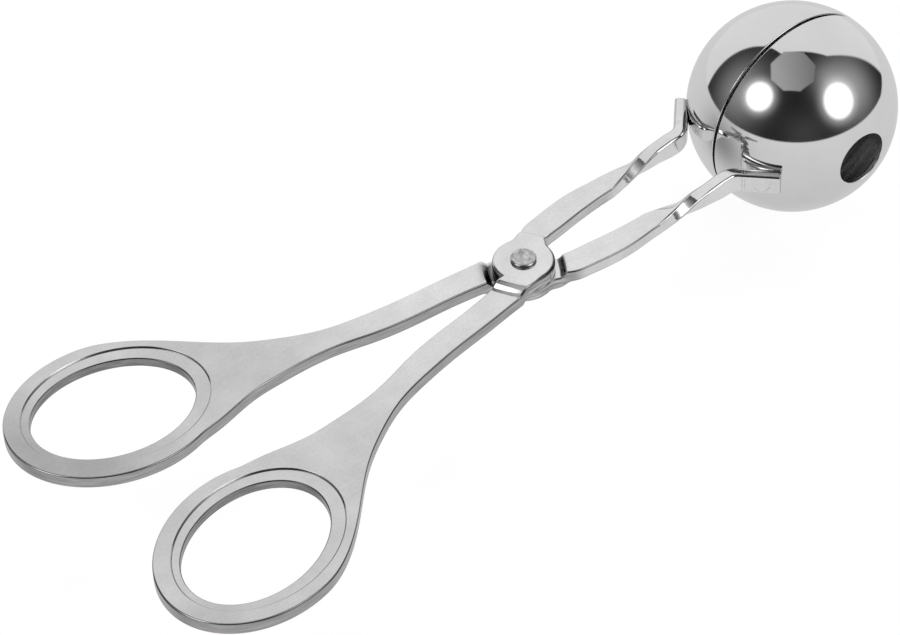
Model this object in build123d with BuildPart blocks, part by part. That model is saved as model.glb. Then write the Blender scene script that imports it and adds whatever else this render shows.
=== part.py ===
from build123d import *
from math import cos, radians, sin, sqrt, tan
import os

# Tongs for shaping meatballs: two identical stamped steel arms crossed on one
# rivet, each carrying half of a hollow ball. All lengths are in millimetres.
# The tongs lie closed along X with the ball at +X, the flats of the arms level
# and the rivet upright. The origin is the middle of the closed tongs.

# Ball and its two cups
ball_diameter = 45.0
cup_wall = 0.9
rim_gap = 0.3
vent_diameter = 12.0
ball_reach = 74.5

# Strip that the arms are stamped from
stock = 3.0
edge_round = 0.3
shank_width = 6.0
branch_width = 6.1
neck_width = 4.8
strip_height = 4.0
foot_height = 5.0

# Finger loop
loop_reach = 87.2
loop_offset = 23.5
loop_length = 45.0
loop_width = 36.4
loop_tilt = 14.5
finger_length = 34.2
finger_width = 25.4
step_margin = 2.5
step_shift = 0.8
step_depth = 0.35
inner_rim_angle = 56.0
rim_arc = 212.0

# Pivot discs, which lie one on the other while the flats share one level
disc_diameter = 13.0
disc_play = 0.1
step_radius = 6.95
step_run = 1.1
step_round = 0.45
step_blend = 2.4
shoulder_radius = 7.15
shoulder_run = 1.1
shoulder_blend = 0.4

# Rivet
rivet_diameter = 4.0
rivet_play = 0.05
head_play = 0.05
head_diameter = 5.4
head_height = 0.7
head_round = 0.2

# Branch between the pivot and the ball
branch_reach = 28.6
branch_offset = 7.3
twist_length = 12.5
strip_offset = 8.2
foot_angle = 46.5
foot_length = 10.3
bend_radius = 3.5
seat_depth = 0.6
seat_gap = 0.05

overrun = 1.0

# Places on the shank are shares of the finger loop's reach and offset. Places on
# a flare are shares along and across the line from the shank to the loop's rim.
# Places on the branch are shares of its reach and offset, and the third share is
# how much of the branch's extra width over the neck a point keeps.
shank_shares = [(0.18, 0.217), (0.29, 0.266), (0.395, 0.334), (0.49, 0.428)]
outer_flare_shares = [(0.175, -0.026), (0.333, -0.03), (0.582, 0.005), (0.825, 0.03)]
inner_flare_shares = [(0.264, 0.044), (0.397, 0.053), (0.542, 0.057), (0.87, 0.013)]
branch_shares = [(0.44, 0.89, 1.0), (0.63, 0.98, 0.9), (0.8, 1.01, 0.5), (1.0, 1.0, 0.0)]
twist_steps = 8

upright_limit_share = 0.01

ball_radius = ball_diameter / 2
disc_radius = disc_diameter / 2
disc_floor = disc_play / 2
disc_top = disc_floor + stock
loop_half_length = loop_length / 2
loop_half_width = loop_width / 2
loop_back = sqrt(
    (loop_half_length * cos(radians(loop_tilt))) ** 2 + (loop_half_width * sin(radians(loop_tilt))) ** 2
)
plate_reach = loop_reach + loop_length
rivet_radius = rivet_diameter / 2
head_radius = head_diameter / 2
head_seat = disc_top + head_play

# Centre line of the foot: it runs along the ball, its inner side let into the ball's surface.
foot_x = cos(radians(foot_angle))
foot_y = sin(radians(foot_angle))
foot_distance = ball_radius - seat_depth + stock / 2
foot_corner_x = ball_reach - foot_distance / foot_y + strip_offset * foot_x / foot_y
foot_corner = (foot_corner_x, strip_offset)
foot_end = (foot_corner_x + foot_x * foot_length, strip_offset + foot_y * foot_length)
strip_end = foot_corner_x - bend_radius

# Middle of the closed tongs, from the ends of the loops to the front of the ball
pivot_x = (loop_reach + loop_back - ball_reach - ball_radius) / 2
upper = Plane((pivot_x, 0, 0), x_dir=(1, 0, 0), z_dir=(0, 0, 1))
lower = Plane((pivot_x, 0, 0), x_dir=(1, 0, 0), z_dir=(0, 0, -1))


def shank_edge(side):
    """One edge of the shank as points, side 1 being the edge away from the long axis."""
    return [
        Vector(-loop_reach * x_share, -loop_offset * y_share - side * shank_width / 2)
        for x_share, y_share in shank_shares
    ]


def flare_edge(start, end, shares):
    """The edge between the shank's end and the start of the loop's rim as points."""
    along = end - start
    across = Vector(-along.Y, along.X)
    return [start + along * x_share + across * y_share for x_share, y_share in shares]


def branch_edge(side):
    """One edge of the branch as points, side 1 being the edge away from the long axis."""
    points = []
    for x_share, y_share, width_share in branch_shares:
        width = neck_width + (branch_width - neck_width) * width_share
        points.append((branch_reach * x_share, branch_offset * y_share + side * width / 2))
    return points


def twist_angle(share):
    return -90 * share * share * (3 - 2 * share)


def is_curved_wall(face):
    return abs(face.normal_at().Z) < upright_limit_share and face.geom_type != GeomType.PLANE


def arm(face):
    """One arm in the given frame: its loop at -X -Y, its foot at +X +Y, its disc on the +Z side."""
    loop_centre = (-loop_reach, -loop_offset)
    upright = Plane(face.origin, x_dir=face.x_dir, z_dir=-face.y_dir)
    across = Plane(face.origin, x_dir=face.y_dir, z_dir=face.x_dir)
    with BuildPart() as body:
        with BuildSketch(face.offset(-stock / 2)):
            Circle(disc_radius)
            with BuildLine():
                rim = EllipticalCenterArc(
                    loop_centre,
                    loop_half_length,
                    loop_half_width,
                    start_angle=inner_rim_angle,
                    arc_size=rim_arc,
                    rotation=loop_tilt,
                )
                outer_shank = shank_edge(1)
                inner_shank = shank_edge(-1)
                outer_flare = flare_edge(outer_shank[-1], rim @ 1, outer_flare_shares)
                inner_flare = flare_edge(inner_shank[-1], rim @ 0, inner_flare_shares)
                outer_points = [(0, -disc_radius), *outer_shank, *outer_flare, rim @ 1]
                inner_points = [(0, 0), *inner_shank, *inner_flare, rim @ 0]
                Spline(*outer_points, tangents=((-1, 0), -(rim % 1)))
                Spline(*inner_points, tangents=((-1, 0), rim % 0))
                Line((0, -disc_radius), (0, 0))
            make_face()
            with BuildLine():
                outer = Spline((0, disc_radius - stock), *branch_edge(1), tangents=((2, 1), (1, 0)))
                inner = Spline((0, 0), *branch_edge(-1), tangents=((2, 1), (1, 0)))
                Line(outer @ 1, inner @ 1)
                Line(outer @ 0, inner @ 0)
            make_face()
        extrude(amount=stock / 2 + disc_top)
        with BuildSketch(upright):
            with BuildLine():
                top = FilletPolyline(
                    (0, disc_top),
                    (step_radius, disc_top),
                    (step_radius + step_run, stock / 2),
                    (plate_reach, stock / 2),
                    radius=[step_round, step_blend],
                )
                bottom = FilletPolyline(
                    (0, disc_floor),
                    (shoulder_radius, disc_floor),
                    (shoulder_radius + shoulder_run, -stock / 2),
                    (plate_reach, -stock / 2),
                    radius=[shoulder_blend, shoulder_blend],
                )
                Line(top @ 0, bottom @ 0)
                Line(top @ 1, bottom @ 1)
            make_face()
        revolve(axis=Axis(face.origin, face.z_dir), mode=Mode.INTERSECT)
        walls = body.faces().filter_by(is_curved_wall)
        fillet(walls.edges().filter_by(Axis.Z, reverse=True), edge_round)

        for side in (stock / 2 - step_depth, -stock / 2 - overrun):
            with BuildSketch(face.offset(side)):
                with Locations((-loop_reach + step_shift, -loop_offset)):
                    Ellipse(finger_length / 2 + step_margin, finger_width / 2 + step_margin, rotation=loop_tilt)
            extrude(amount=step_depth + overrun, mode=Mode.SUBTRACT)
        with BuildSketch(face.offset(-stock)):
            with Locations(loop_centre):
                Ellipse(finger_length / 2, finger_width / 2, rotation=loop_tilt)
        extrude(amount=2 * stock, mode=Mode.SUBTRACT)
        fillet(body.edges(Select.LAST).filter_by(Axis.Z, reverse=True), edge_round)

        for step in range(twist_steps + 1):
            share = step / twist_steps
            width = neck_width + (strip_height - neck_width) * share
            with BuildSketch(across.offset(branch_reach + twist_length * share)):
                with Locations((branch_offset + (strip_offset - branch_offset) * share, 0)):
                    RectangleRounded(width, stock, edge_round, rotation=twist_angle(share))
        loft()

        with BuildSketch(across.offset(branch_reach + twist_length)):
            with Locations((strip_offset, 0)):
                RectangleRounded(stock, strip_height, edge_round)
        with BuildSketch(across.offset(strip_end)):
            with Locations((strip_offset, 0)):
                RectangleRounded(stock, foot_height, edge_round)
        loft()
        with BuildLine(face):
            FilletPolyline((strip_end, strip_offset), foot_corner, foot_end, radius=bend_radius)
        with BuildSketch(across.offset(strip_end)):
            with Locations((strip_offset, 0)):
                RectangleRounded(stock, foot_height, edge_round)
        sweep()
        with Locations(face.location * Location((ball_reach, 0, 0))):
            Sphere(ball_radius + seat_gap, mode=Mode.SUBTRACT)
        with Locations(face.location):
            Cylinder(rivet_radius + rivet_play, 4 * stock, mode=Mode.SUBTRACT)
    return body


def cup(face):
    """Half of the ball on the +Y side of the given frame, with a vent at its pole."""
    with BuildPart() as body:
        with BuildSketch(face):
            with Locations((ball_reach, 0)):
                Circle(ball_radius)
                Circle(ball_radius - cup_wall, mode=Mode.SUBTRACT)
                Rectangle(
                    ball_diameter + overrun, ball_diameter, align=(Align.MIN, Align.CENTER), mode=Mode.SUBTRACT
                )
                with Locations((0, rim_gap / 2)):
                    Rectangle(
                        ball_diameter + overrun, ball_diameter, align=(Align.CENTER, Align.MAX), mode=Mode.SUBTRACT
                    )
                Rectangle(vent_diameter, ball_diameter + overrun, mode=Mode.SUBTRACT)
        revolve(axis=Axis(face.origin + face.x_dir * ball_reach, face.y_dir))
    return body


def rivet():
    with BuildPart() as body:
        with BuildSketch(Plane(upper.origin, x_dir=upper.x_dir, z_dir=-upper.y_dir)):
            with BuildLine():
                Polyline(
                    (0, head_seat + head_height),
                    (head_radius - head_round, head_seat + head_height),
                    (head_radius, head_seat + head_height - head_round),
                    (head_radius, head_seat),
                    (rivet_radius, head_seat),
                    (rivet_radius, -head_seat),
                    (head_radius, -head_seat),
                    (head_radius, -head_seat - head_height + head_round),
                    (head_radius - head_round, -head_seat - head_height),
                    (0, -head_seat - head_height),
                    close=True,
                )
            make_face()
        revolve(axis=Axis(upper.origin, upper.z_dir))
    return body


upper_arm = arm(upper)
lower_arm = arm(lower)
left_cup = cup(upper)
right_cup = cup(lower)
pivot_rivet = rivet()

os.makedirs("parts", exist_ok=True)
upper_arm.part.label = "upper_arm"
export_step(upper_arm.part, "parts/upper_arm.step")
lower_arm.part.label = "lower_arm"
export_step(lower_arm.part, "parts/lower_arm.step")
left_cup.part.label = "left_cup"
export_step(left_cup.part, "parts/left_cup.step")
right_cup.part.label = "right_cup"
export_step(right_cup.part, "parts/right_cup.step")
pivot_rivet.part.label = "pivot_rivet"
export_step(pivot_rivet.part, "parts/pivot_rivet.step")
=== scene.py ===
from math import cos, pi, radians, sin, tan

import bmesh
import bpy
import numpy as np
from mathutils import Matrix, Vector
from numpy import arange, array, column_stack, concatenate as join, exp, hypot, interp, linspace
from numpy import ones, stack, zeros
from numpy.linalg import norm


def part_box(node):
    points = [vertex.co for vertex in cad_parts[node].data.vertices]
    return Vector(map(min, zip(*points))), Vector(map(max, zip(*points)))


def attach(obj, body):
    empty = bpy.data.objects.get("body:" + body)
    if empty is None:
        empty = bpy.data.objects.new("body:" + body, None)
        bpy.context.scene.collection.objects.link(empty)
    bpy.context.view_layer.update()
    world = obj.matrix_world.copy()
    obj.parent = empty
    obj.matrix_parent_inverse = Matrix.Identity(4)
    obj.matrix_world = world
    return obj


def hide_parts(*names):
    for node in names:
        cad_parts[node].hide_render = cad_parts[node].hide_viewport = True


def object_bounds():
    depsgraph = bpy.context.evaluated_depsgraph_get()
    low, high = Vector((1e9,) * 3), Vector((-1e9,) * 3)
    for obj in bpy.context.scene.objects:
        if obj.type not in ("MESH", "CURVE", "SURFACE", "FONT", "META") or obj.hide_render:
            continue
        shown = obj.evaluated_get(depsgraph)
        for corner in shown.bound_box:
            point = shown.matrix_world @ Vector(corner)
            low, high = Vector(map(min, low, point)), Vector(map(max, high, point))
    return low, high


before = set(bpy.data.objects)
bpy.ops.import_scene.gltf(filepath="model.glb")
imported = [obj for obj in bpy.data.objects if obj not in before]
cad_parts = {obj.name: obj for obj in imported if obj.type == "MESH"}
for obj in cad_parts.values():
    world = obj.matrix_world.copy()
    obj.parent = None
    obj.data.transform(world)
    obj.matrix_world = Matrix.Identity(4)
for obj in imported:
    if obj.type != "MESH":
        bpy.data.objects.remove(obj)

# The scene is in metres. The pieces' own sizes are in millimetres, measured from the pivot.
cadLow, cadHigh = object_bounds()
mm = 0.001
rivetLow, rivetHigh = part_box("pivot_rivet")
cupLow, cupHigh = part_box("left_cup")
pivotX = (rivetLow.x + rivetHigh.x) / 2 / mm
ballReach = (cupLow.x + cupHigh.x) / 2 / mm - pivotX
ballRadius = (cupHigh.x - cupLow.x) / 2 / mm
print("frame loaded, pivot at", round(pivotX, 3), "mm, ball", round(2 * ballRadius, 2), "mm")


# The unit vector (sin a cos e, -cos a cos e, sin e) of an azimuth and an elevation in degrees.
def direction(azimuth, elevation):
    a, e = radians(azimuth), radians(elevation)
    return array([sin(a) * cos(e), -cos(a) * cos(e), sin(e)])


# The camera stands where the ball, both loops and the discs put it in the photograph. The
# point at aimX beside the pivot falls on originPixel.
camera = {
    "azimuth": -37.029, "elevation": 45.493, "roll": -3.148,
    "focalPixels": 4122.4, "imageSize": (900, 635), "originPixel": (526.05, 268.52),
    "distance": 846.4, "aimX": 0.6, "sensorWidth": 36, "clip": (0.01, 20),
}


# The camera's right (cos a, sin a, 0), down and forward as rows. Forward is away from its
# direction, down is forward x right, and the roll turns right and down.
def cameraAxes(s):
    back = direction(s["azimuth"], s["elevation"])
    a, r = radians(s["azimuth"]), radians(s["roll"])
    right = array([cos(a), sin(a), 0])
    axes = array([right, np.cross(-back, right), -back])
    return array([[cos(r), -sin(r), 0], [sin(r), cos(r), 0], [0, 0, 1]]) @ axes


# An object in the scene.
def addObject(name, data):
    item = bpy.data.objects.new(name, data)
    bpy.context.scene.collection.objects.link(item)
    return item


# The camera stands at the aimed point - distance (right x / f + down y / f + forward), (x, y)
# being that point's pixel from the picture's middle and f the focal length.
def makeCamera(s):
    axes = cameraAxes(s)
    (width, height), (column, row) = s["imageSize"], s["originPixel"]
    focal = s["focalPixels"]
    aside = array([(column - width / 2) / focal, (row - height / 2) / focal, 1])
    place = array([s["aimX"] + pivotX, 0, 0]) - axes.T @ aside * s["distance"]
    lens = bpy.data.cameras.new("camera")
    lens.sensor_width = s["sensorWidth"]
    lens.lens = focal / width * lens.sensor_width
    lens.clip_start, lens.clip_end = s["clip"]
    item = addObject("camera", lens)
    turn = Matrix(column_stack([axes[0], -axes[1], -axes[2]]).tolist()).to_4x4()
    item.matrix_world = Matrix.Translation(Vector(place * mm)) @ turn
    bpy.context.scene.camera = item


makeCamera(camera)
bpy.context.scene.view_settings.view_transform = "Standard"
print("camera made")

mergeDistance = 2e-6  # in metres: nearer points are one
thinEdge = 1e-7  # in metres: thinner faces are dropped
leastLength = 1e-20  # of a normal, for a safe division
curveSamples = 1500  # points along each edge of the outline
reachSlack = 1e-9  # in millimetres, for rounding where a curve meets the disc


# Quads of a grid of points, (i, j) being number i * columns + j. Closed columns join the last
# one to the first.
def gridQuads(rows, columns, closed):
    i = arange(rows - 1)[:, None]
    j = arange(columns if closed else columns - 1)
    nextJ = (j + 1) % columns
    quads = [i * columns + j, i * columns + nextJ, (i + 1) * columns + nextJ, (i + 1) * columns + j]
    return stack(quads, -1).reshape(-1, 4)


# One mesh from several grids. Each is (rows, columns, 3) points, whether its columns close,
# and three shares of finish and painted shade per point, or for all of them.
def joinGrids(grids):
    points, quads, finishAndShade, start = [], [], [], 0
    for grid, closed, toneShares in grids:
        rows, columns = grid.shape[:2]
        points.append(grid.reshape(-1, 3))
        finishAndShade.append(np.broadcast_to(toneShares, grid.shape).reshape(-1, 3))
        quads.append(gridQuads(rows, columns, closed) + start)
        start += rows * columns
    return join(points), join(quads), join(finishAndShade)


# Vertex normals as the mean of face normals weighted by area, so that flats stay flat up to
# their rounds.
def areaNormals(mesh):
    count = len(mesh.polygons)
    areas, normals = zeros(count), zeros(count * 3)
    sizes, corners = zeros(count, int), zeros(len(mesh.loops), int)
    mesh.polygons.foreach_get("area", areas)
    mesh.polygons.foreach_get("normal", normals)
    mesh.polygons.foreach_get("loop_total", sizes)
    mesh.loops.foreach_get("vertex_index", corners)
    weighted = normals.reshape(-1, 3) * areas[:, None]
    total = zeros((len(mesh.vertices), 3))
    np.add.at(total, corners, np.repeat(weighted, sizes, axis=0))
    return total / np.maximum(norm(total, axis=1), leastLength)[:, None]


# A smooth closed mesh in metres, welded and with all faces out, from points * turn moved
# along X to middleX. Finish and painted shade shares and the unturned place go with it for the material.
def makePiece(name, node, body, turn, grids, middleX, slot, material):
    points, quads, finishAndShade = joinGrids(grids)
    mesh = bpy.data.meshes.new(name)
    mesh.from_pydata(((points * turn + [middleX, 0, 0]) * mm).tolist(), [], quads.tolist())
    for key, values in {"finishAndShade": finishAndShade, "place": points * mm}.items():
        layer = mesh.attributes.new(key, "FLOAT_VECTOR", "POINT")
        layer.data.foreach_set("vector", values.astype(np.float32).ravel())
    work = bmesh.new()
    work.from_mesh(mesh)
    bmesh.ops.remove_doubles(work, verts=work.verts, dist=mergeDistance)
    bmesh.ops.dissolve_degenerate(work, edges=work.edges, dist=thinEdge)
    bmesh.ops.recalc_face_normals(work, faces=work.faces)
    openEdges = sum(not e.is_manifold for e in work.edges)
    volume = work.calc_volume() / mm ** 3
    work.to_mesh(mesh)
    work.free()
    mesh.polygons.foreach_set("use_smooth", ones(len(mesh.polygons), bool))
    mesh.normals_split_custom_set_from_vertices(areaNormals(mesh).tolist())
    mesh.materials.append(material)
    piece = addObject(name, mesh)
    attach(piece, body)
    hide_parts(node)
    print(name, len(mesh.polygons), "faces,", openEdges, "open edges,", round(volume), "mm3")


# A cubic curve through points with unit tangents at its ends. A span of chord length h from p
# to q, with slopes m and n, is for u in 0..1
# (1 + 2u)(1 - u)^2 p + u(1 - u)^2 h m + u^2(3 - 2u) q + u^2(u - 1) h n.
def splineThrough(points, startTangent, endTangent):
    p = array(points, float)
    h = norm(np.diff(p, axis=0), axis=1)
    n = len(p)
    system, right = np.eye(n), zeros((n, 2))
    right[0] = array(startTangent) / norm(startTangent)
    right[-1] = array(endTangent) / norm(endTangent)
    for i in range(1, n - 1):
        system[i, i - 1:i + 2] = h[i], 2 * (h[i - 1] + h[i]), h[i - 1]
        right[i] = 3 * (h[i] * (p[i] - p[i - 1]) / h[i - 1] + h[i - 1] * (p[i + 1] - p[i]) / h[i])
    slopes = np.linalg.solve(system, right)
    knots = join([[0], np.cumsum(h)])
    t = linspace(0, knots[-1], curveSamples)
    k = np.clip(np.searchsorted(knots, t, side="right") - 1, 0, n - 2)
    u = ((t - knots[k]) / h[k])[:, None]
    step = h[k][:, None]
    return (
        (1 + 2 * u) * (1 - u) ** 2 * p[k] + u * (1 - u) ** 2 * step * slopes[k]
        + u * u * (3 - 2 * u) * p[k + 1] + u * u * (u - 1) * step * slopes[k + 1]
    )


# A plan curve moved to its right-hand side: p + distance * (ty, -tx), t its unit tangent.
def movedRight(curve, distance):
    tangent = np.gradient(curve, axis=0)
    tangent /= norm(tangent, axis=1)[:, None]
    return curve + distance * column_stack([tangent[:, 1], -tangent[:, 0]])


# A polyline whose inner corners are arcs. An arc's middle lies radius / sin(half the corner)
# inside it, and its points from that middle are
# (sin((1 - w) sweep) start + sin(w sweep) end) / sin(sweep), for w in 0..1.
def roundedPolyline(points, radii, arcSteps):
    p = array(points, float)
    out = [p[0]]
    for i, radius in enumerate(radii, 1):
        a = (p[i - 1] - p[i]) / norm(p[i - 1] - p[i])
        b = (p[i + 1] - p[i]) / norm(p[i + 1] - p[i])
        half = np.arccos(np.clip(a @ b, -1, 1)) / 2
        reach = radius / tan(half)
        middle = p[i] + (a + b) / norm(a + b) * radius / sin(half)
        start, end = p[i] + a * reach - middle, p[i] + b * reach - middle
        sweep = pi - 2 * half
        w = linspace(0, 1, arcSteps + 1)[:, None]
        out.extend(middle + (np.sin((1 - w) * sweep) * start + np.sin(w * sweep) * end) / sin(sweep))
    out.append(p[-1])
    return array(out)


# Points radius * (cos, sin) at angles.
def onCircle(angle, radius=1.0):
    return radius * stack([np.cos(angle), np.sin(angle)], -1)


# Angle and distance of plan points about the rivet, the angle in -pi/4..7 pi/4.
def polar(points):
    angle = (np.arctan2(points[..., 1], points[..., 0]) + pi / 4) % (2 * pi) - pi / 4
    return angle, hypot(points[..., 0], points[..., 1])


# Points on a line of points at places counted from its start, whole or not.
def alongLine(line, where):
    t = arange(len(line))
    return column_stack([interp(where, t, line[:, k]) for k in (0, 1)])


# Plan points with a height each.
def level(plan, height):
    height = np.broadcast_to(np.asarray(height)[..., None], plan.shape[:-1] + (1,))
    return join([plan, height], -1)


# The shares: side wall, painted shade on rounded edges and in creases, and hole wall, per row
# or point.
def shares(side, paintedShade=0.0, hole=0.0):
    return stack(np.broadcast_arrays(side, paintedShade, hole), -1)


# A profile of (distance from the axis, place along it) turned once about axis number 1 or 2.
def turned(profile, axis, around):
    angle = linspace(0, 2 * pi, around, endpoint=False)
    columns = [profile[:, :1] * np.cos(angle), profile[:, :1] * np.sin(angle)]
    columns.insert(axis, np.broadcast_to(profile[:, 1:], columns[0].shape))
    return stack(columns, -1)


# One arm, in the frame where its loop lies at -X -Y and its disc on the upper side. Flare
# points are shares along and across the line from the shank to the rim, and a branch point
# is its place and width. An arris list is how dark the rounded edge is painted, from flat to
# wall: painted shade and dark reflections on the edges.
arm = {
    "stock": 3.0, "shankWidth": 6.0,
    "shankPoints": [(-15.7, -5.1), (-25.29, -6.25), (-34.44, -7.85), (-42.73, -10.06)],
    "outerFlare": [(0.175, -0.026), (0.333, -0.03), (0.582, 0.005), (0.825, 0.03)],
    "innerFlare": [(0.264, 0.044), (0.397, 0.053), (0.542, 0.057), (0.87, 0.013)],
    "webRadius": 62.0,  # from the rivet to the seam of the handle's and the loop's grids
    "loopCentre": (-87.2, -23.5),
    "loopSize": (45.0, 36.4), "loopTilt": 14.5,
    "rimAngles": (56.0, 268.0),
    "fingerSize": (34.2, 25.4),
    "holeRound": 0.3,
    "stepMargin": 2.5, "stepShift": 0.8, "stepDepth": 0.35, "stepSoft": 0.15, "stepApron": 0.12,
    "discRadius": 6.5, "discPlay": 0.1, "boreRadius": 2.05,
    "bendAngle": 29.0, "bendCurve": 0.28,
    "step": (7.4, 9.1, 2.8, 2.0),  # top slope: its start and end, and the radii there
    "shoulder": (7.3, 8.55, 0.4, 0.4),  # bottom slope
    "slopeEnd": 200,
    "branchPoints": [(12.58, 6.5, 6.1), (18.02, 7.15, 5.97), (22.88, 7.37, 5.45), (28.6, 7.3, 4.8)],
    "outerNeck": [(3.4, 6.5), (4.9, 7.3), (6.5, 8.3), (8.2, 8.9), (10.5, 9.25)],
    "innerNeck": [(6.76, 0.85), (7.19, 1.8), (7.8, 2.55), (8.8, 2.95), (10.4, 3.22)],
    "neckAngles": (75, -3),
    "twistLength": 14.0, "twistEase": 0.15,
    "stripHeight": 4.0, "stripOffset": 8.2,
    "footAngle": 46.5, "footLength": 10.3, "footHeight": 5.0, "bendRadius": 3.5,
    "seatDepth": 0.6, "seatGap": 0.05,
    "inset": 0.85,  # from the outline to the end of the flats
    "edgeRound": 0.42, "discRound": 0.75, "discRoundFade": 1.6, "cornerFade": 0.9,
    "stripRound": 0.55,
    "stripFlat": 0.4,  # share of a chamfer in the strip's rounds
    "stripGrow": 3.0,
    "seatRound": 1.2, "pastRound": 1.05,
    # Painted shade on the rounded edges, from flat to wall: dark lines standing in for dark reflections
    # and shadow.
    "arris": (0, 0, 0, 0.1, 0.7, 1, 0.5, 0),
    "discArris": (0, 0, 0.2, 0.9, 1, 1, 0.8, 0.1),
    "holeArris": (0, 0.3, 0.8, 0.8, 0.3, 0, 0),
    # Less painted edge shade on the left and on the strip, and the foot's tip painted dark: a painted
    # contact shadow against the ball.
    "leftArris": 0.3, "stripArris": 0.5, "tipArris": 1.0,
    # Painted shade on the disc's wall where it faces the other arm's shoulder across a narrow gap.
    "gapDirt": (1.0, 160, 26, 7.15),  # share, middle and width in degrees, and reach from the rivet
    # Painted shade on the underside's slope under the bends, next to the other arm's disc.
    "shoulderDirt": [(1.0, 7.4, 1.4), (1.0, 8.0, 0.5)],  # share, middle and width, under the bends
    "edgeSteps": 6, "slopeSteps": 16, "acrossHandle": 14, "acrossBranch": 14,
    "leadRows": 6, "bendMargins": (0.3, 1.0), "bendRows": 40, "blendRows": 10,
    "handleRows": 70, "branchRows": 36,
    "leftArcSteps": 44, "rightArcSteps": 40, "discRings": 12,
    "tailPoints": 35, "rimPoints": 151,
    "rayShares": (0.3, 0.65, 0.9), "stepRows": 9,
    "twistRows": 49, "runRows": 10, "cornerSteps": 14, "footRows": 44, "tipRows": 4,
    "capShares": (1, 0.8, 0.4, 0),
}


# How far plan points lie from the rivet across the two bends, whose lines curve by the share
# c of a circle about it: (1 - c) |p . axis| + c |p|.
def bendReach(plan, s):
    axis = array([cos(radians(s["bendAngle"])), sin(radians(s["bendAngle"]))])
    return (1 - s["bendCurve"]) * np.abs(plan @ axis) + s["bendCurve"] * hypot(plan[..., 0], plan[..., 1])


# The plate's top and bottom level by that distance: a short rounded slope from the disc down
# to the flats.
def plateLevels(s):
    half, play = s["stock"] / 2, s["discPlay"] / 2

    def slope(high, low, near, far, roundNear, roundFar):
        corners = [(0, high), (near, high), (far, low), (s["slopeEnd"], low)]
        line = roundedPolyline(corners, [roundNear, roundFar], s["slopeSteps"])
        return lambda plan: interp(bendReach(plan, s), line[:, 0], line[:, 1])

    return slope(play + s["stock"], half, *s["step"]), slope(play, -half, *s["shoulder"])


# A quarter round of radius 1 as (sine, 1 - cosine), from the flat to the wall.
def quarterRound(s):
    angle = linspace(0, pi / 2, s["edgeSteps"] + 1)
    return np.sin(angle), 1 - np.cos(angle)


# Distance r from the loop's middle to an ellipse along each angle. In the ellipse's own units
# |r u - m| = 1 for the ray u and its shifted middle m, so r is the positive root of
# (u . u) r^2 - 2 (u . m) r + m . m - 1.
def ellipseReach(angles, halves, tilt, shift=0.0):
    u = onCircle(angles - tilt) / halves
    m = array([shift * cos(-tilt), shift * sin(-tilt)]) / halves
    a, b, c = (u * u).sum(1), -2 * u @ m, m @ m - 1
    return (-b + np.sqrt(b * b - 4 * a * c)) / (2 * a)


# One edge of the handle: from the disc along the shank, then over the flare's points, which
# are start + along * share + across * share, to the loop's rim.
def handleEdge(s, start, side, flare, rimEnd, tangent):
    shank = array(s["shankPoints"]) - side * array([0, s["shankWidth"] / 2])
    along = rimEnd - shank[-1]
    across = array([-along[1], along[0]])
    flarePoints = [shank[-1] + along * a + across * b for a, b in flare]
    return splineThrough([start, *shank, *flarePoints, rimEnd], (-1, 0), tangent)


# One edge of the branch: it leaves the disc's circle at an angle, along the circle, and runs
# over the neck's points and half the width beside each branch point. Side 1 is the outer edge.
def branchEdge(s, side, angle, neck):
    ray = array([cos(radians(angle)), sin(radians(angle))])
    branch = array(s["branchPoints"])
    places = branch[:, :2] + side * branch[:, 2:] / 2 * [0, 1]
    return splineThrough([s["discRadius"] * ray, *neck, *places], (side * ray[1], -side * ray[0]), (1, 0))


# The loop's rim: a tilted ellipse from its inner to its outer end.
def rimCurve(s):
    tilt, (first, last) = radians(s["loopTilt"]), s["rimAngles"]
    turn = array([[cos(tilt), -sin(tilt)], [sin(tilt), cos(tilt)]])
    angle = linspace(radians(first), radians(last), curveSamples)
    return array(s["loopCentre"]) + onCircle(angle, array(s["loopSize"]) / 2) @ turn.T


# The place, as a count, where a curve first lies radius away from the rivet.
def placeAt(curve, radius):
    return interp(radius, np.maximum.accumulate(hypot(*curve.T)), arange(len(curve)))


# One long edge of the plate from the disc outwards: points on its inset line, points beside
# them on the outline, shifted by exp(-gap / fade), and the radius of its round, which grows
# towards the disc by exp(-(gap / fade)^2).
def edgeRail(curve, inset, end, rows, s):
    t, radius = arange(len(curve)), s["discRadius"]
    inner = radius - s["inset"]
    first = max(int(np.argmax(hypot(*inset.T) >= inner - reachSlack)), 1)
    begin = interp(inner, hypot(*inset.T)[first - 1:first + 1], t[first - 1:first + 1])
    away = np.maximum.accumulate(bendReach(inset, s)[first:])
    before, after = s["bendMargins"]
    steps = linspace(radius - before, s["step"][1] + after, s["bendRows"])
    bend = interp(steps, away, t[first:])
    lead = linspace(begin, bend[0], s["leadRows"] + 1)[:-1]
    where = join([lead, bend, linspace(bend[-1], end, rows + 1)[1:]])
    insetPoints = alongLine(inset, where)
    corner = placeAt(curve, radius)
    gap = hypot(*(insetPoints - insetPoints[0]).T)
    outPoints = alongLine(curve, where + (corner - begin) * exp(-gap / s["cornerFade"]))
    edge = s["edgeRound"] + (s["discRound"] - s["edgeRound"]) * exp(-(gap / s["discRoundFade"]) ** 2)
    return insetPoints, outPoints, edge


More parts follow.
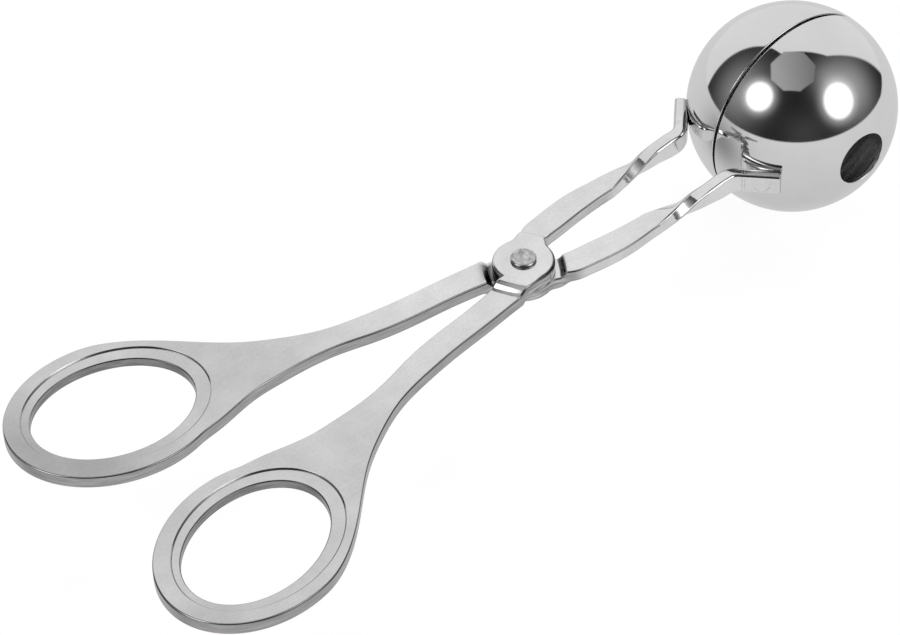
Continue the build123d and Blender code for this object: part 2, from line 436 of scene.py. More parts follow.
# Plan points between two rails, arc (1 - straight) + line straight: an arc about the rivet
# beside the disc, and straighter from the bend on.
def between(start, end, columns, s):
    v = linspace(0, 1, columns + 1)
    (angle0, r0), (angle1, r1) = polar(start), polar(end)
    angle = angle0[:, None] * (1 - v) + angle1[:, None] * v
    reach = r0[:, None] * (1 - v) + r1[:, None] * v
    arc = onCircle(angle, reach[..., None])
    line = start[:, None] * (1 - v[..., None]) + end[:, None] * v[..., None]
    first, last, most = s["leadRows"], s["leadRows"] + s["bendRows"], 1 - s["bendCurve"]
    rows = [first, first + s["blendRows"], last, last + s["blendRows"]]
    straight = interp(arange(len(start)), rows, [0, most, most, 1])[:, None, None]
    return arc * (1 - straight) + line * straight


# The disc's free arcs between two rails, without their ends, at each of the radii.
def freeArcs(start, end, radii, count):
    arcs = []
    for first, last, radius in zip(start, end, radii):
        a, b = polar(first[0])[0], polar(last[0])[0]
        b = b - 2 * pi if b > a else b
        arcs.append(onCircle(linspace(a, b, count + 1)[1:-1], radius))
    return arcs


# The loop as rays from its middle: from the ring of points round it inwards over the step,
# whose slope is 3 w^2 - 2 w^3, to the rounded edge of the finger hole, and the same below.
def loopGrid(ring, s):
    centre, tilt = array(s["loopCentre"]), radians(s["loopTilt"])
    angles = np.arctan2(ring[:, 1] - centre[1], ring[:, 0] - centre[0])
    ray = onCircle(angles)
    outerReach = hypot(*(ring - centre).T)
    finger = array(s["fingerSize"]) / 2
    soft, hole = s["stepSoft"], s["holeRound"]

    def stepReach(more):
        return ellipseReach(angles, finger + s["stepMargin"] + more, tilt, s["stepShift"])

    def holeReach(more):
        return ellipseReach(angles, finger + more, tilt)

    top = s["stock"] / 2
    floor = top - s["stepDepth"]
    apron = stepReach(-soft - s["stepApron"])
    rows = [(outerReach, top, 0, 0, 0)]
    for share in s["rayShares"]:
        rows.append((outerReach * (1 - share) + stepReach(soft) * share, top, 0, 0, 0))
    # The step's foot is painted dark, by w^3: painted shade in its crease.
    for share in linspace(0, 1, s["stepRows"]):
        height = top - s["stepDepth"] * share * share * (3 - 2 * share)
        rows.append((stepReach(soft * (1 - 2 * share)), height, 0, share ** 3, 0))
    rows.append((apron, floor, 0, 0, 0))
    rows.append(((apron + holeReach(hole)) / 2, floor, 0, 0, 0))
    # The finger hole's rounded edge gets a dark line, and its wall the hole's tone: both painted shade.
    for out, drop, dark in zip(*quarterRound(s), s["holeArris"]):
        rows.append((holeReach(hole * (1 - out)), floor - hole * drop, out ** 2, dark, out ** 2))
    reaches, heights, side, paintedShade, deep = (
        array([np.broadcast_to(value, len(ring)) for value in column]) for column in zip(*rows)
    )
    plan = centre + ray * reaches[..., None]
    toneShares = shares(side, paintedShade, deep)
    loop = join([level(plan, heights), level(plan, -heights)[::-1]])
    return loop, True, join([toneShares, toneShares[::-1]])


# The wall round the outline, with a rounded edge above and below. A span is its inset and
# outline points, the radius of its round, and its shares of the disc's and of all painted arris shade.
def wallGrid(spans, topAt, bottomAt, s):
    insetLine, outLine = (join([span[k] for span in spans]) for k in (0, 1))
    edge, wideShare, arrisShare = (
        join([np.broadcast_to(span[k], len(span[0])) for span in spans]) for k in (2, 3, 4)
    )
    out, drop = quarterRound(s)

    def roundedEdge(radius, levelAt, sign):
        share = join([[0 * radius], 1 - radius / s["inset"] * (1 - out[:, None])])
        drops = join([[0 * radius], radius * drop[:, None]])
        plan = insetLine + (outLine - insetLine) * share[..., None]
        return level(plan, levelAt(plan) - sign * drops)

    plain = np.full(len(edge), s["edgeRound"])
    wall = join([roundedEdge(edge, topAt, 1), roundedEdge(plain, bottomAt, -1)[::-1]])
    side = join([[0], out ** 3])[:, None] * ones(len(edge))
    side = join([side, side[::-1]])
    wide = (edge - s["edgeRound"]) / (s["discRound"] - s["edgeRound"]) * wideShare
    high = (np.outer(s["arris"], 1 - wide) + np.outer(s["discArris"], wide)) * arrisShare
    low = np.outer(s["arris"], ones(len(edge)))
    # Painted shade on the wall beside the other arm's shoulder, by angle and reach from the rivet.
    angle, reach = polar(outLine)
    most, middle, width, far = s["gapDirt"]
    shadeShare = most * exp(-((np.degrees(angle) - middle) / width) ** 2) * (reach < far)
    return wall, False, shares(side, np.maximum(join([high, low[::-1]]), shadeShare * side))


# The plate of one arm: the grids of its disc, loop, wall, handle and branch.
def plateGrids(s):
    topAt, bottomAt = plateLevels(s)
    inset, radius, final = s["inset"], s["discRadius"], curveSamples - 1
    rim = rimCurve(s)
    curves = [
        handleEdge(s, (0, -radius), 1, s["outerFlare"], rim[-1], rim[-2] - rim[-1]),
        handleEdge(s, (0, 0), -1, s["innerFlare"], rim[0], rim[1] - rim[0]),
        branchEdge(s, 1, s["neckAngles"][0], s["outerNeck"]),
        branchEdge(s, -1, s["neckAngles"][1], s["innerNeck"]),
        rim,
    ]
    outer, inner, outerBranch, innerBranch, rim = (
        (curve, movedRight(curve, side * inset)) for curve, side in zip(curves, (1, -1, 1, -1, -1))
    )

    # Rails: a and b along the handle's outer and inner edge, c and d along the branch's.
    outerWeb, innerWeb = (placeAt(edge[1], s["webRadius"]) for edge in (outer, inner))
    a, b = edgeRail(*outer, outerWeb, s["handleRows"], s), edgeRail(*inner, innerWeb, s["handleRows"], s)
    c, d = (edgeRail(*edge, final, s["branchRows"], s) for edge in (outerBranch, innerBranch))
    handle = between(a[0], b[0], s["acrossHandle"], s)
    branch = between(c[0], d[0], s["acrossBranch"], s)

    # The disc: rings from the rails' ends and the free arcs in to the bore.
    radii = (radius - inset, radius)
    left, right = freeArcs(b, c, radii, s["leftArcSteps"]), freeArcs(d, a, radii, s["rightArcSteps"])
    shrink = linspace(1, s["boreRadius"] / radii[0], s["discRings"])
    discPlan = join([handle[0], left[0], branch[0], right[0]]) * shrink[:, None, None]
    disc = join([level(discPlan, topAt(discPlan)), level(discPlan, bottomAt(discPlan))[::-1]])

    # The loop's outline, from the handle's outer edge round the rim to its inner one.
    outerTail = linspace(outerWeb, final, s["tailPoints"])[1:-1]
    innerTail = linspace(final, innerWeb, s["tailPoints"])[1:-1]
    picks = [outerTail, linspace(final, 0, s["rimPoints"]), innerTail]
    loopOut, loopIn = (
        join([alongLine(edge[k], pick) for edge, pick in zip((outer, rim, inner), picks)]) for k in (0, 1)
    )
    loopRing = join([a[0][-1:], loopIn, b[0][-1:], handle[-1][::-1][1:-1]])

    less, plain = s["leftArris"], (0, 0, 0)
    spans = [
        (*(line[::-1] for line in d), 1, 1),
        (*right, s["discRound"], 1, 1),
        (*a, 1, 1),
        (loopIn, loopOut, s["edgeRound"], 1, 1),
        (*(line[::-1] for line in b), less, 1),
        (*left, s["discRound"], less, less),
        (*c, less, 1),
    ]
    grids = [(disc, True, plain), loopGrid(loopRing, s), wallGrid(spans, topAt, bottomAt, s)]
    # The underside of the handle and branch gets painted shade along the slope under the bends.
    for flat, (most, middle, width) in zip((handle, branch), s["shoulderDirt"]):
        shadeShare = most * exp(-((bendReach(flat, s) - middle) / width) ** 2)
        grids.append((level(flat, topAt(flat)), False, plain))
        grids.append((level(flat, bottomAt(flat)), False, shares(0, shadeShare)))
    return grids


# The strip's section as a closed ring in (across, up): a rounded rectangle from its top outer
# corner, with the same steps as the plate's. Its corners go from quarter rounds to chamfers by
# the share flat.
def stripSection(width, stock, highRound, lowRound, flat, s):
    out, drop = quarterRound(s)
    even = linspace(0, 1, len(out))
    out, drop = out * (1 - flat) + even * flat, drop * (1 - flat) + even * flat
    halfWidth, rise, count = width / 2, stock / 2, s["acrossBranch"] + 1

    def corner(radius, sign):
        return column_stack([halfWidth - radius * (1 - out), sign * (rise - radius * drop)])

    def row(margin, height):
        return column_stack([linspace(halfWidth - margin, margin - halfWidth, count), [height] * count])

    high, low = corner(highRound, 1), corner(lowRound, -1)
    top, bottom = row(s["inset"], rise), row(max(s["inset"], lowRound * s["pastRound"]), -rise)
    mirror = array([-1, 1])
    return join([top, high * mirror, low[::-1] * mirror, bottom[::-1], low, high[::-1]])


# The branch past the plate: the section carried along a twist, an on-edge run, a bend and the
# foot, which is let into the ball. The twist's angle is -pi/2 (w - ease sin(2 pi w) / (2 pi)).
# The second grid closes the foot's end.
def stripGrids(s):
    startX, startY, startWidth = s["branchPoints"][-1]
    footTurn = radians(s["footAngle"])
    ahead = array([cos(footTurn), sin(footTurn)])
    apart = ballRadius - s["seatDepth"] + s["stock"] / 2
    offset, height = s["stripOffset"], s["stripHeight"]
    corner = array([ballReach - apart / ahead[1] + offset * ahead[0] / ahead[1], offset])
    twistEnd, stripEnd = startX + s["twistLength"], corner[0] - s["bendRadius"]

    # The middle line: twist, run, bend, and the foot with the rows of its rounded end.
    foot = corner + ahead * s["footLength"]
    bend = roundedPolyline([(stripEnd, offset), corner, foot], [s["bendRadius"]], s["cornerSteps"])
    share = linspace(0, 1, s["twistRows"])
    twist = column_stack([startX + s["twistLength"] * share, startY + (offset - startY) * share])
    run = column_stack([linspace(twistEnd, stripEnd, s["runRows"]), np.full(s["runRows"], offset)])
    tipOut, tipDrop = quarterRound(s)
    footLine = linspace(0, hypot(*(bend[-1] - bend[-2])) - s["edgeRound"], s["footRows"])
    footLine = join([footLine, footLine[-1] + s["edgeRound"] * tipOut[1:]])
    line = join([twist, run[1:], bend[1:-1], (bend[-2] + ahead * footLine[:, None])[1:]])

    # Heading, roll and size of the section in each row.
    count, twisted, bent = len(line), len(twist), len(twist) + len(run) - 1
    curved = slice(bent, bent + s["cornerSteps"] + 1)
    heading = np.full(count, footTurn)
    heading[:bent] = 0
    heading[curved] = linspace(0, footTurn, s["cornerSteps"] + 1)
    roll = np.full(count, -pi / 2)
    roll[:twisted] = -pi / 2 * (share - s["twistEase"] * np.sin(2 * pi * share) / (2 * pi))
    width = np.full(count, s["footHeight"])
    width[:twisted] = startWidth + (height - startWidth) * share
    width[twisted:bent] = linspace(height, s["footHeight"], s["runRows"])[1:]
    less = zeros(count)
    less[-len(tipDrop):] = 2 * s["edgeRound"] * tipDrop
    grown = np.clip((line[:, 0] - startX) / s["stripGrow"], 0, 1)
    high = s["edgeRound"] + (s["stripRound"] - s["edgeRound"]) * grown
    low = high.copy()
    low[bent:] = s["seatRound"]
    low[curved] = linspace(s["stripRound"], s["seatRound"], s["cornerSteps"] + 1)
    sections = array([
        stripSection(w - d, s["stock"] - d, h, r, f * s["stripFlat"], s)
        for w, d, h, r, f in zip(width, less, high, low, grown)
    ])
    across = stack([-np.sin(heading), np.cos(heading), 0 * heading], -1)
    up = array([0, 0, 1.0])
    a = np.cos(roll)[:, None] * across + np.sin(roll)[:, None] * up
    b = -np.sin(roll)[:, None] * across + np.cos(roll)[:, None] * up
    grid = sections[..., :1] * a[:, None] + sections[..., 1:] * b[:, None]
    grid = level(line, 0)[:, None] + grid
    middle = grid[-1].mean(0)
    caps = array([middle + (grid[-1] - middle) * k for k in s["capShares"]])

    # Points inside the ball are moved out to its surface and the gap over it.
    def seated(points):
        away = points - [ballReach, 0, 0]
        reach = norm(away, axis=-1, keepdims=True)
        return [ballReach, 0, 0] + away * np.maximum(1, (ballRadius + s["seatGap"]) / reach)

    # Painted shade: dark lines along the strip's rounded edges, and a dark row across the foot's tip, a
    # painted contact shadow against the ball.
    wall, arris = tipOut ** 3, array(s["arris"][1:])
    flat = zeros(s["acrossBranch"] + 1)
    body = (arange(count) < count - s["tipRows"])[:, None]
    tip = (arange(count) == count - s["tipRows"])[:, None]
    side = join([flat, wall, wall[::-1]] * 2) * body
    paintedShade = join([flat, arris, arris[::-1]] * 2) * s["stripArris"]
    toneShares = shares(side, np.maximum(paintedShade, s["tipArris"] * tip))
    return [(seated(grid), True, toneShares), (seated(caps), True, (0, 0, 0))]


cup = {
    "wall": 0.9, "rimGap": 0.7, "ventDiameter": 12.0, "rimRound": 0.25,
    "around": 192, "roundRows": 6, "shellRows": 90, "liningRows": 80,
}


# Half of the ball, turned about the line through both poles: outer wall, vent, inner wall.
def cupGrid(s):
    outer, inside = ballRadius, ballRadius - s["wall"]
    r, vent, rim, n = s["rimRound"], s["ventDiameter"] / 2, s["rimGap"] / 2, s["roundRows"]
    arc = linspace(0, pi / 2, n)[:, None]

    # A quarter round from a point: r (1 - cos) second + r sin first.
    def roundFrom(point, first, second):
        return point + r * ((1 - np.cos(arc)) * array(second) + np.sin(arc) * array(first))

    def ends(radius):
        return np.arcsin((rim + r) / radius), np.arccos((vent + r) / radius)

    shell = onCircle(linspace(*ends(outer), s["shellRows"]), outer)
    lining = onCircle(linspace(*ends(inside)[::-1], s["liningRows"]), inside)
    ventTop = roundFrom(shell[-1], (-1, 0), (0, -1))
    ventLow = roundFrom(lining[0], (-1, 0), (0, 1))[::-1]
    rimIn = roundFrom(lining[-1], (0, -1), (1, 0))
    rimOut = roundFrom(shell[0], (0, -1), (-1, 0))[::-1]
    profile = join([shell, ventTop[1:], ventLow[:-1], lining, rimIn[1:], rimOut])
    # The inner side, from the vent's inner round to the rim's inner round, takes the wall tone: painted
    # shade inside the ball.
    inward = join([zeros(len(shell) + n - 1), ones(len(lining) + 2 * n - 3), zeros(n + 1)])
    return turned(profile, 1, s["around"]), True, shares(inward)[:, None]


rivet = {
    "radius": 2.0, "headRadius": 2.7, "footRadius": 2.5,
    "headHeight": 0.7, "headRound": 0.32, "seat": 3.1, "dish": 0.04,
    "around": 96, "faceRows": 12, "edgeRows": 8,
}


# The rivet turned about Z, with a head at each end. A head's face is dished by dish cos^2, and
# its edge lies halfway between a quarter round and a chamfer.
def rivetGrid(s):
    arc, even = linspace(0, pi / 2, s["edgeRows"]), linspace(0, 1, s["edgeRows"])
    top, r = s["seat"] + s["headHeight"], s["headRound"]
    flat = linspace(0, s["headRadius"] - r, s["faceRows"])
    face = column_stack([flat, top - s["dish"] * np.cos(flat / flat[-1] * pi / 2) ** 2])
    edge = column_stack([
        s["headRadius"] - r + r * (np.sin(arc) + even) / 2, top - r + r * (np.cos(arc) + 1 - even) / 2,
    ])
    half = join([face, edge[1:], [(s["footRadius"], s["seat"]), (s["radius"], s["seat"])]])
    # The head's outer edge, its underside and the shank take the wall tone: painted shade under the head.
    side = join([zeros(s["faceRows"]), even[1:] ** 6, [1, 1]])
    profile = join([half, (half * [1, -1])[::-1]])
    return turned(profile, 2, s["around"]), True, shares(join([side, side[::-1]]))[:, None]


print("geometry ready")


# An empty node tree of a new material or world.
def emptyTree(block):
    block.use_nodes = True
    block.node_tree.nodes.clear()
    return block.node_tree


# The outputs of a new node. Its inputs, by name or in order, are numbers or linked sockets.
def addNode(tree, kind, inputs=(), **settings):
    node = tree.nodes.new("ShaderNode" + kind)
    for key, value in settings.items():
        setattr(node, key, value)
    for key, value in inputs.items() if isinstance(inputs, dict) else enumerate(inputs):
        if isinstance(value, bpy.types.NodeSocket):
            tree.links.new(value, node.inputs[key])
        else:
            node.inputs[key].default_value = value
    return node.outputs


# One operation on one, two or three values.
def calc(tree, operation, *values):
    return addNode(tree, "Math", values, operation=operation)[0]


# first * second * ...
def times(tree, first, *others):
    for value in others:
        first = calc(tree, "MULTIPLY", first, value)
    return first


# offset + slope * value
def linear(tree, value, offset, slope):
    return calc(tree, "ADD", times(tree, value, slope), offset)


# low (1 - share) + high share
def mix(tree, share, low, high):
    return addNode(tree, "Mix", {0: share, 2: low, 3: high}, data_type="FLOAT")[0]


# 0 below low, 1 above high, smooth between.
def fade(tree, value, low, high):
    return addNode(tree, "MapRange", [value, low, high], interpolation_type="SMOOTHSTEP")[0]


# The value from source low..high to target low..high, straight between and held outside.
def mapped(tree, value, source, target):
    return addNode(tree, "MapRange", [value, *source, *target])[0]


# A number from vectors, such as their distance.
def measure(tree, operation, *vectors):
    return addNode(tree, "VectorMath", vectors, operation=operation)["Value"]


# An operation whose result is an angle, in degrees.
def inDegrees(tree, operation, *values):
    return times(tree, calc(tree, operation, *values), 180 / pi)


# ray . direction
def facing(tree, ray, axis):
    return measure(tree, "DOT_PRODUCT", ray, tuple(axis))


# The angle in degrees between the ray and a direction: arccos(min(ray . direction, 1))
def angleTo(tree, ray, azimuth, elevation):
    along = calc(tree, "MINIMUM", facing(tree, ray, direction(azimuth, elevation)), 1)
    return inDegrees(tree, "ARCCOSINE", along)


# strength * exp(-(angle / width)^2 / 2)
def bell(tree, angle, width, strength):
    share = calc(tree, "DIVIDE", angle, width * 2 ** 0.5)
    power = times(tree, share, share, -1)
    return times(tree, calc(tree, "EXPONENT", power), strength)


# Light by direction, with angles in degrees. A lamp is its azimuth, elevation, size, and its
# halo's strength and width. A glow or the shade is azimuth, elevation, width, strength.
studio = {
    "tableTones": (0.62, 0.705), "tableSpan": (-80, 0),
    "tableEdge": (3.1, -59, 0.0008, -10),  # height, middle azimuth, drop per square degree, least
    "tableFade": 0.8, "backdrop": 0.757, "backdropTop": (145, 76.5), "topFade": 1.2, "room": 0.015,
    "rightEdge": (84.3, -0.18),  # azimuth at the horizon, and its slope with elevation
    "leftEdge": (-156.8, -0.39),
    "edgeFade": (-1.5, 1.8),
    "lamps": [(-94, 41, 13.6, 0.34, 4.5), (20.5, 29.5, 16.2, 0.30, 5.0)],
    "lampCore": 1.55, "lampEdge": 4.2,
    "glows": [(-119, 30, 20, 0.26), (44, 26, 19, 0.34), (30, 50, 12, 0.2), (-30, 12, 16, 0.035)],
    "shade": (-117, -23, 17, 0.4),
    "overhead": (-44, 81.5, 22.2),  # azimuth, elevation, size
    "overheadSides": 8, "overheadTurn": 22.5, "overheadFade": 0.6, "overheadLight": (0.19, 0.40),
    "overheadNear": -125,  # azimuth that it is brightest towards
    "overheadSpan": (-0.38, 0.32),
}


# The dark room's light: weak glows, and two lamps with soft edges and halos.
def roomLight(tree, ray, s):
    value = s["room"]
    for az, el, width, strength in s["glows"]:
        value = calc(tree, "ADD", value, bell(tree, angleTo(tree, ray, az, el), width, strength))
    for az, el, size, halo, width in s["lamps"]:
        away = angleTo(tree, ray, az, el)
        outside = calc(tree, "MAXIMUM", calc(tree, "SUBTRACT", away, size), 0)
        value = calc(tree, "ADD", value, bell(tree, outside, width, halo))
        lit = fade(tree, away, size + s["lampEdge"], size - s["lampEdge"])
        value = calc(tree, "ADD", value, times(tree, lit, s["lampCore"]))
    return value


# The share and the light of an overhead panel with equal sides: a ray is inside where its
# angle to the middle times cos(turn to the nearest side's middle) is under the size.
def overheadPanel(tree, ray, s):
    az, el, size = s["overhead"]
    middle = Vector(direction(az, el))
    sideA = middle.orthogonal().normalized()
    sideA.rotate(Matrix.Rotation(radians(s["overheadTurn"]), 3, middle))
    sideB = middle.cross(sideA)
    turn = inDegrees(tree, "ARCTAN2", facing(tree, ray, sideB), facing(tree, ray, sideA))
    wedge = 360 / s["overheadSides"]
    turn = calc(tree, "SUBTRACT", calc(tree, "FLOORED_MODULO", turn, wedge), wedge / 2)
    flatSide = calc(tree, "COSINE", calc(tree, "DIVIDE", turn, 180 / pi))
    flatSide = times(tree, angleTo(tree, ray, az, el), flatSide)
    near = facing(tree, ray, direction(s["overheadNear"], 0))
    light = mapped(tree, near, s["overheadSpan"], s["overheadLight"])
    return fade(tree, flatSide, size + s["overheadFade"], size - s["overheadFade"]), light


# The table's share and light: its far edge drops to both sides by drop * azimuth^2, and one
# part lies in the tongs' shade.
def tableTop(tree, ray, azimuth, elevation, s):
    high, middle, drop, least = s["tableEdge"]
    aside = calc(tree, "SUBTRACT", azimuth, middle)
    edge = calc(tree, "MAXIMUM", linear(tree, times(tree, aside, aside), high, -drop), least)
    share = fade(tree, calc(tree, "SUBTRACT", edge, elevation), -s["tableFade"], s["tableFade"])
    light = mapped(tree, elevation, s["tableSpan"], s["tableTones"])
    az, el, width, strength = s["shade"]
    return share, calc(tree, "SUBTRACT", light, bell(tree, angleTo(tree, ray, az, el), width, strength))


# The studio by direction: a pale table, a pale backdrop behind the tongs with a straight top,
# and a dark room on the camera's side. The camera itself sees plain white.
def makeStudio(s):
    world = bpy.data.worlds.new("studio")
    bpy.context.scene.world = world
    tree = emptyTree(world)
    ray = addNode(tree, "TexCoord")["Generated"]
    x, y, z = addNode(tree, "SeparateXYZ", [ray])
    elevation = inDegrees(tree, "ARCSINE", z)
    azimuth = inDegrees(tree, "ARCTAN2", x, times(tree, y, -1))

    # The dark room lies between the backdrop's two upright edges, and above its top.
    right, left = (linear(tree, elevation, *s[key]) for key in ("rightEdge", "leftEdge"))
    inRight = fade(tree, calc(tree, "SUBTRACT", right, azimuth), *s["edgeFade"])
    inLeft = fade(tree, calc(tree, "SUBTRACT", azimuth, left), *s["edgeFade"])
    behind, tilt = s["backdropTop"]
    axis = array([0, 0, cos(radians(tilt))]) - sin(radians(tilt)) * direction(behind, 0)
    above = fade(tree, inDegrees(tree, "ARCSINE", facing(tree, ray, axis)), -s["topFade"], s["topFade"])
    room = calc(tree, "MAXIMUM", times(tree, inRight, inLeft), above)

    value = mix(tree, room, s["backdrop"], roomLight(tree, ray, s))
    share, light = overheadPanel(tree, ray, s)
    value = mix(tree, share, value, light)
    share, light = tableTop(tree, ray, azimuth, elevation, s)
    value = mix(tree, share, value, light)
    path = addNode(tree, "LightPath")
    seen = calc(tree, "MAXIMUM", path["Is Camera Ray"], path["Is Transmission Ray"])
    back = addNode(tree, "Background", {"Color": mix(tree, seen, value, 1.0), "Strength": 1.0})
    addNode(tree, "OutputWorld", {"Surface": back[0]})


floorPlan = {"size": 0.7, "gap": 2e-5, "glow": 0.86, "colour": 0.33, "corners": 96}


# A pale round floor under the ball. To the camera it is near white with a soft shadow.
def makeFloor(s):
    angle = linspace(0, 2 * pi, s["corners"], endpoint=False)
    mesh = bpy.data.meshes.new("floor")
    ring = level(onCircle(angle, s["size"]), cadLow.z - s["gap"])
    mesh.from_pydata(ring.tolist(), [], [list(range(s["corners"]))])
    material = bpy.data.materials.new("floor")
    tree = emptyTree(material)
    diffuse = addNode(tree, "BsdfDiffuse", {"Color": (s["colour"],) * 3 + (1,)})[0]
    glow = addNode(tree, "Emission", {"Color": (1, 1, 1, 1), "Strength": s["glow"]})[0]
    both = addNode(tree, "AddShader", [diffuse, glow])[0]
    addNode(tree, "OutputMaterial", {"Surface": both})
    mesh.materials.append(material)
    floor = addObject("floor", mesh)
    floor.visible_glossy = False


makeStudio(studio)
makeFloor(floorPlan)
print("studio made")

# The detail and roughness of each noise in the steels.
noises = {
    "clouds": (3, 0.5), "patches": (2, 0.5), "fine": (4, 0.6),
    "lines": (3, 0.5), "layers": (3, 0.6), "waves": (1.5, 0.5),
}
usualNoise = (0.3, 0.7)  # where most of a noise's values lie
patchShare = 0.35  # the patches' scale as a share of the clouds'
spotCore = 0.2  # the share of a dull spot's reach that is dull all over


# Noise of 0..1 at places.
def noise(tree, place, scale, kind):
    detail, rough = noises[kind]
    inputs = {"Vector": place, "Scale": scale, "Detail": detail, "Roughness": rough}
    return addNode(tree, "TexNoise", inputs)["Fac"]


# Noise from its usual range to low..high.
def spread(tree, value, low, high):
    return mapped(tree, value, usualNoise, (low, high))


# A bump in metres over the one before it.
def bump(tree, height, depth, below):
    inputs = {"Height": height, "Strength": 1.0, "Distance": depth}
    if below:
        inputs["Normal"] = below
    return addNode(tree, "Bump", inputs)[0]


# Places scaled along each axis, so that noise on them makes streaks.
def streaked(tree, place, scale, turn=0.0):
    inputs = {"Vector": place, "Rotation": (0, 0, radians(-turn)), "Scale": scale}
    return addNode(tree, "Mapping", inputs)[0]


# The arms' tone along their length and in dull spots, each tone * mix(share there), and how
# much of the painted shade on edges and in creases is left: the product of 1 - spot.
def toneAlongAndSpots(tree, look, world, x, tone):
    shadeLeft = 1.0
    for start, end, share in look["along"]:
        tone = times(tree, tone, mix(tree, fade(tree, x, start, end), 1.0, share))
    for spot, reach, share in look["dull"]:
        near = fade(tree, measure(tree, "DISTANCE", world, spot), reach, reach * spotCore)
        tone = times(tree, tone, mix(tree, near, 1.0, share))
        shadeLeft = times(tree, shadeLeft, calc(tree, "SUBTRACT", 1, near))
    return tone, shadeLeft


# The arms' cut walls, darker partly by their cut finish and partly by painted shade. The discs'
# walls are more streaked than the others, the branch's outer wall and the strip beyond it are
# smoother.
def armWalls(tree, look, place, x, y, strip, tone, layers, wall):
    disc = fade(tree, measure(tree, "LENGTH", place), *look["discFrom"])
    wall = mix(tree, disc, wall, mix(tree, layers, *look["discWall"]))
    branch = fade(tree, x, *look["branchFrom"])
    wall = mix(tree, branch, wall, times(tree, wall, look["innerTone"]))
    outer = times(tree, branch, fade(tree, y, *look["outerFrom"]))
    return mix(tree, calc(tree, "MAXIMUM", outer, strip), wall, times(tree, tone, look["outerTone"]))


# The weld's marks on the foot: 0 on one ring and two bars, 1 beside them.
def weldMarks(tree, look, place):
    ring = calc(tree, "SUBTRACT", measure(tree, "DISTANCE", place, look["weldSpot"]), look["weldRing"])
    along = facing(tree, place, look["footAhead"])
    bars = [calc(tree, "SUBTRACT", along, reach) for reach in look["weldBars"]]
    lines = [fade(tree, calc(tree, "ABSOLUTE", away), 0, look["weldWidth"]) for away in [ring, *bars]]
    return times(tree, *lines)


# Steel whose tone and roughness drift in clouds and patches, with fine grain, brush lines and
# shallow waves. The cut walls, and on the arms the finger hole and the painted shade on edges
# and in creases, have tones of their own: tone (1 - share) + own tone * share. The walls' tone
# is partly their cut finish and partly painted shade; the hole's and the creases' is painted shade.
def steel(name, look):
    material = bpy.data.materials.new(name)
    tree = emptyTree(material)
    world = addNode(tree, "TexCoord")["Object"]
    place = addNode(tree, "Attribute", attribute_name="place")["Vector"]
    finishAndShade = addNode(tree, "Attribute", attribute_name="finishAndShade")["Vector"]
    side, paintedShade, hole = addNode(tree, "SeparateXYZ", [finishAndShade])
    isArm = "weldSpot" in look

    clouds = noise(tree, world, look["cloudScale"], "clouds")
    patches = noise(tree, world, look["cloudScale"] * patchShare, "patches")
    fine = noise(tree, world, look["grainScale"], "fine")
    brushed = streaked(tree, place, (1, look["brushRatio"], 1), look["brushAngle"])
    lines = noise(tree, brushed, look["brushScale"], "lines")
    layered = streaked(tree, place, look["layers"])
    layers = noise(tree, layered, look["layerScale"], "layers")
    layers = fade(tree, layers, *look["layerRange"])
    waves = noise(tree, world, look["waveScale"], "waves")

    parts = {"tone": clouds, "brushTone": lines, "patchTone": patches, "grainTone": fine}
    tone = times(tree, *(spread(tree, value, *look[key]) for key, value in parts.items()))
    wall = mix(tree, layers, *look["wallTone"])
    drift = spread(tree, patches, 0, look["roughDrift"])
    rough = calc(tree, "ADD", spread(tree, fine, *look["rough"]), drift)
    wallRough = mix(tree, layers, *look["wallRough"])
    if isArm:
        x, y = addNode(tree, "SeparateXYZ", [place])[:2]
        strip = fade(tree, x, *look["stripFrom"])
        tone, shadeLeft = toneAlongAndSpots(tree, look, world, x, tone)
        wall = armWalls(tree, look, place, x, y, strip, tone, layers, wall)
        rough = times(tree, rough, mix(tree, strip, 1.0, look["stripRough"]))
        wallRough = mix(tree, strip, wallRough, rough)
    # The walls' own tone: partly their cut finish, partly painted shade.
    tone = mix(tree, side, tone, wall)
    rough = mix(tree, side, rough, wallRough)
    if isArm:
        # The finger hole's wall is painted dark: painted shade.
        tone = mix(tree, hole, tone, mix(tree, layers, *look["holeTone"]))
        # Painted shade on rounded edges, in the step's crease, beside the discs and at the foot's tip,
        # less of it in the dull spots.
        tone = mix(tree, times(tree, paintedShade, shadeLeft), tone, times(tree, tone, look["shadeTone"]))
        mark = weldMarks(tree, look, place)
        worn = spread(tree, noise(tree, place, look["weldWear"], "patches"), look["weldTone"], 1.0)
        tone = times(tree, tone, mix(tree, mark, worn, 1.0))

    heights = {"grainDepth": fine, "waveDepth": waves, "brushDepth": lines}
    heights["layerDepth"] = times(tree, layers, side)
    if isArm:
        heights["weldDepth"] = mark
    normal = None
    for key, height in heights.items():
        normal = bump(tree, height, look[key], normal)
    colour = addNode(tree, "CombineColor", [tone] * 3)[0]
    skin = addNode(tree, "BsdfPrincipled", {
        "Base Color": colour, "Metallic": 1.0, "Roughness": rough, "Normal": normal,
    })[0]
    addNode(tree, "OutputMaterial", {"Surface": skin})
    return material


# The weld's spot lies on the foot's outer face, outerFace from the ball's middle, and its bars
# cross the foot nearer the bend.
weld = {"reach": 7.7, "bars": (0.0035, 0.0041)}
footAhead = array([cos(radians(arm["footAngle"])), sin(radians(arm["footAngle"])), 0])
outerFace = ballRadius - arm["seatDepth"] + arm["stock"]
footX = ballReach - (outerFace - arm["stripOffset"] * footAhead[0]) / footAhead[1]
weldSpot = ([footX, arm["stripOffset"], 0] + weld["reach"] * footAhead) * mm

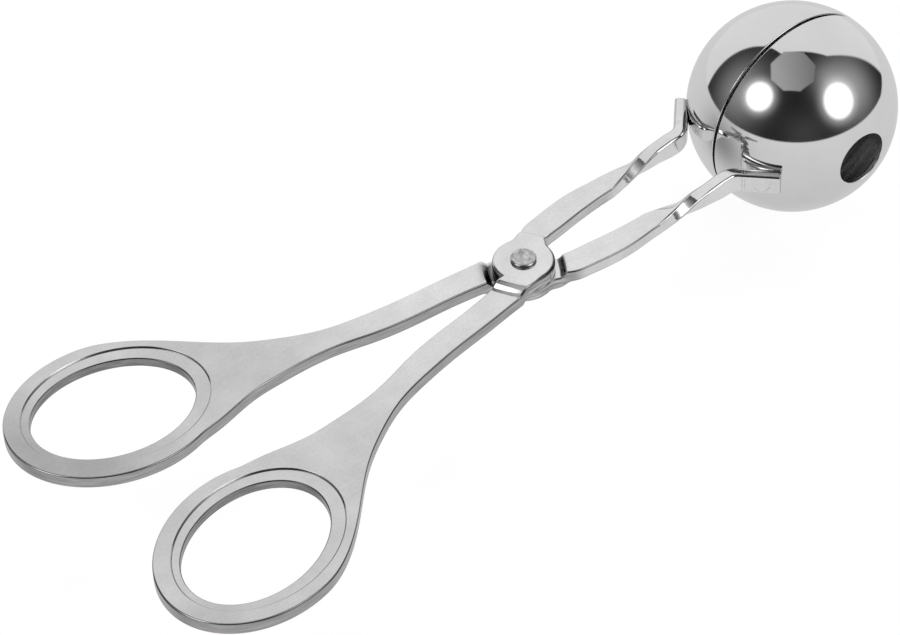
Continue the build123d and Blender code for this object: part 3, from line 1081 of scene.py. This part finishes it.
# Scales are per metre, depths and places in metres, angles in degrees.
armLook = {
    "cloudScale": 170, "tone": (0.87, 0.965), "patchTone": (0.955, 1.035),
    "grainScale": 1500, "grainTone": (0.96, 1.04), "grainDepth": 1.6e-6,
    "rough": (0.12, 0.17), "roughDrift": 0.05, "stripRough": 0.35,
    "waveScale": 220, "waveDepth": 2e-5,
    "brushAngle": 14, "brushRatio": 30, "brushScale": 110, "brushTone": (0.982, 1.018),
    "brushDepth": 8e-7,
    "layers": (0.1, 0.1, 1), "layerScale": 1800, "layerRange": (0.32, 0.68), "layerDepth": 6e-6,
    # Wall tones: partly cut finish, partly painted shade. The hole's tone and the tone of the dark lines
    # on edges and in creases are painted shade.
    "wallTone": (0.42, 0.56), "wallRough": (0.16, 0.26), "holeTone": (0.24, 0.40), "shadeTone": 0.09,
    "along": [(-0.02, -0.06, 0.84)],
    "dull": [
        ((-0.098, 0.014, 0), 0.028, 0.70),
        ((-0.105, 0.035, 0), 0.016, 0.86),
        ((-0.057, 0.019, 0), 0.018, 0.93),
        ((-0.102, -0.038, 0), 0.014, 0.83),
    ],
    "stripFrom": (0.026, 0.030), "branchFrom": (0.006, 0.010),
    "outerFrom": (0.006, 0.008), "discFrom": (0.0098, 0.0076),
    "discWall": (0.28, 0.74), "innerTone": 1.4, "outerTone": 0.95,
    "weldSpot": tuple(weldSpot),
    "weldRing": 0.0017, "weldWidth": 0.00022,
    "footAhead": footAhead,
    "weldBars": [weldSpot @ footAhead - back for back in weld["bars"]],
    "weldDepth": 1e-5, "weldTone": 0.72, "weldWear": 700,
}
cupLook = {
    "cloudScale": 90, "tone": (0.815, 0.865), "patchTone": (0.985, 1.015),
    "grainScale": 2200, "grainTone": (0.995, 1.005), "grainDepth": 1e-7,
    "rough": (0.03, 0.05), "roughDrift": 0.03,
    "waveScale": 90, "waveDepth": 1.2e-5,
    "brushAngle": 0, "brushRatio": 6, "brushScale": 200, "brushTone": (0.995, 1.005),
    "brushDepth": 1e-7,
    "layers": (0.05, 1, 0.05), "layerScale": 600, "layerRange": (0.34, 0.68), "layerDepth": 1e-6,
    # The inside's darker, streaked tone is painted shade.
    "wallTone": (0.38, 0.8), "wallRough": (0.22, 0.28),
}
rivetLook = {
    "cloudScale": 900, "tone": (0.34, 0.80), "patchTone": (0.88, 1.12),
    "grainScale": 1800, "grainTone": (0.95, 1.05), "grainDepth": 2e-6,
    "rough": (0.18, 0.28), "roughDrift": 0.08,
    "waveScale": 600, "waveDepth": 3e-5,
    "brushAngle": 40, "brushRatio": 4, "brushScale": 500, "brushTone": (0.95, 1.05),
    "brushDepth": 2e-6,
    "layers": (0.1, 0.1, 1), "layerScale": 1500, "layerRange": (0.32, 0.68), "layerDepth": 6e-6,
    # The head's edge, underside and shank are painted dark: painted shade under the head.
    "wallTone": (0.2, 0.35), "wallRough": (0.25, 0.35),
}

# Each kind's grids, place along X, slot and material. The lower half is the upper one after
# half a turn about the long axis.
armParts = (plateGrids(arm) + stripGrids(arm), pivotX, "arm_steel", steel("satinSteel", armLook))
cupParts = ([cupGrid(cup)], pivotX + ballReach, "cup_steel", steel("mirrorSteel", cupLook))
rivetParts = ([rivetGrid(rivet)], pivotX, "rivet_steel", steel("turnedSteel", rivetLook))
print("steels made")
upright, overturned = [1, 1, 1], [1, -1, -1]
makePiece("upperArm", "upper_arm", "upper_half", upright, *armParts)
makePiece("lowerArm", "lower_arm", "lower_half", overturned, *armParts)
makePiece("leftCup", "left_cup", "upper_half", upright, *cupParts)
makePiece("rightCup", "right_cup", "lower_half", overturned, *cupParts)
makePiece("pivotRivet", "pivot_rivet", "lower_half", upright, *rivetParts)
print("pieces made")
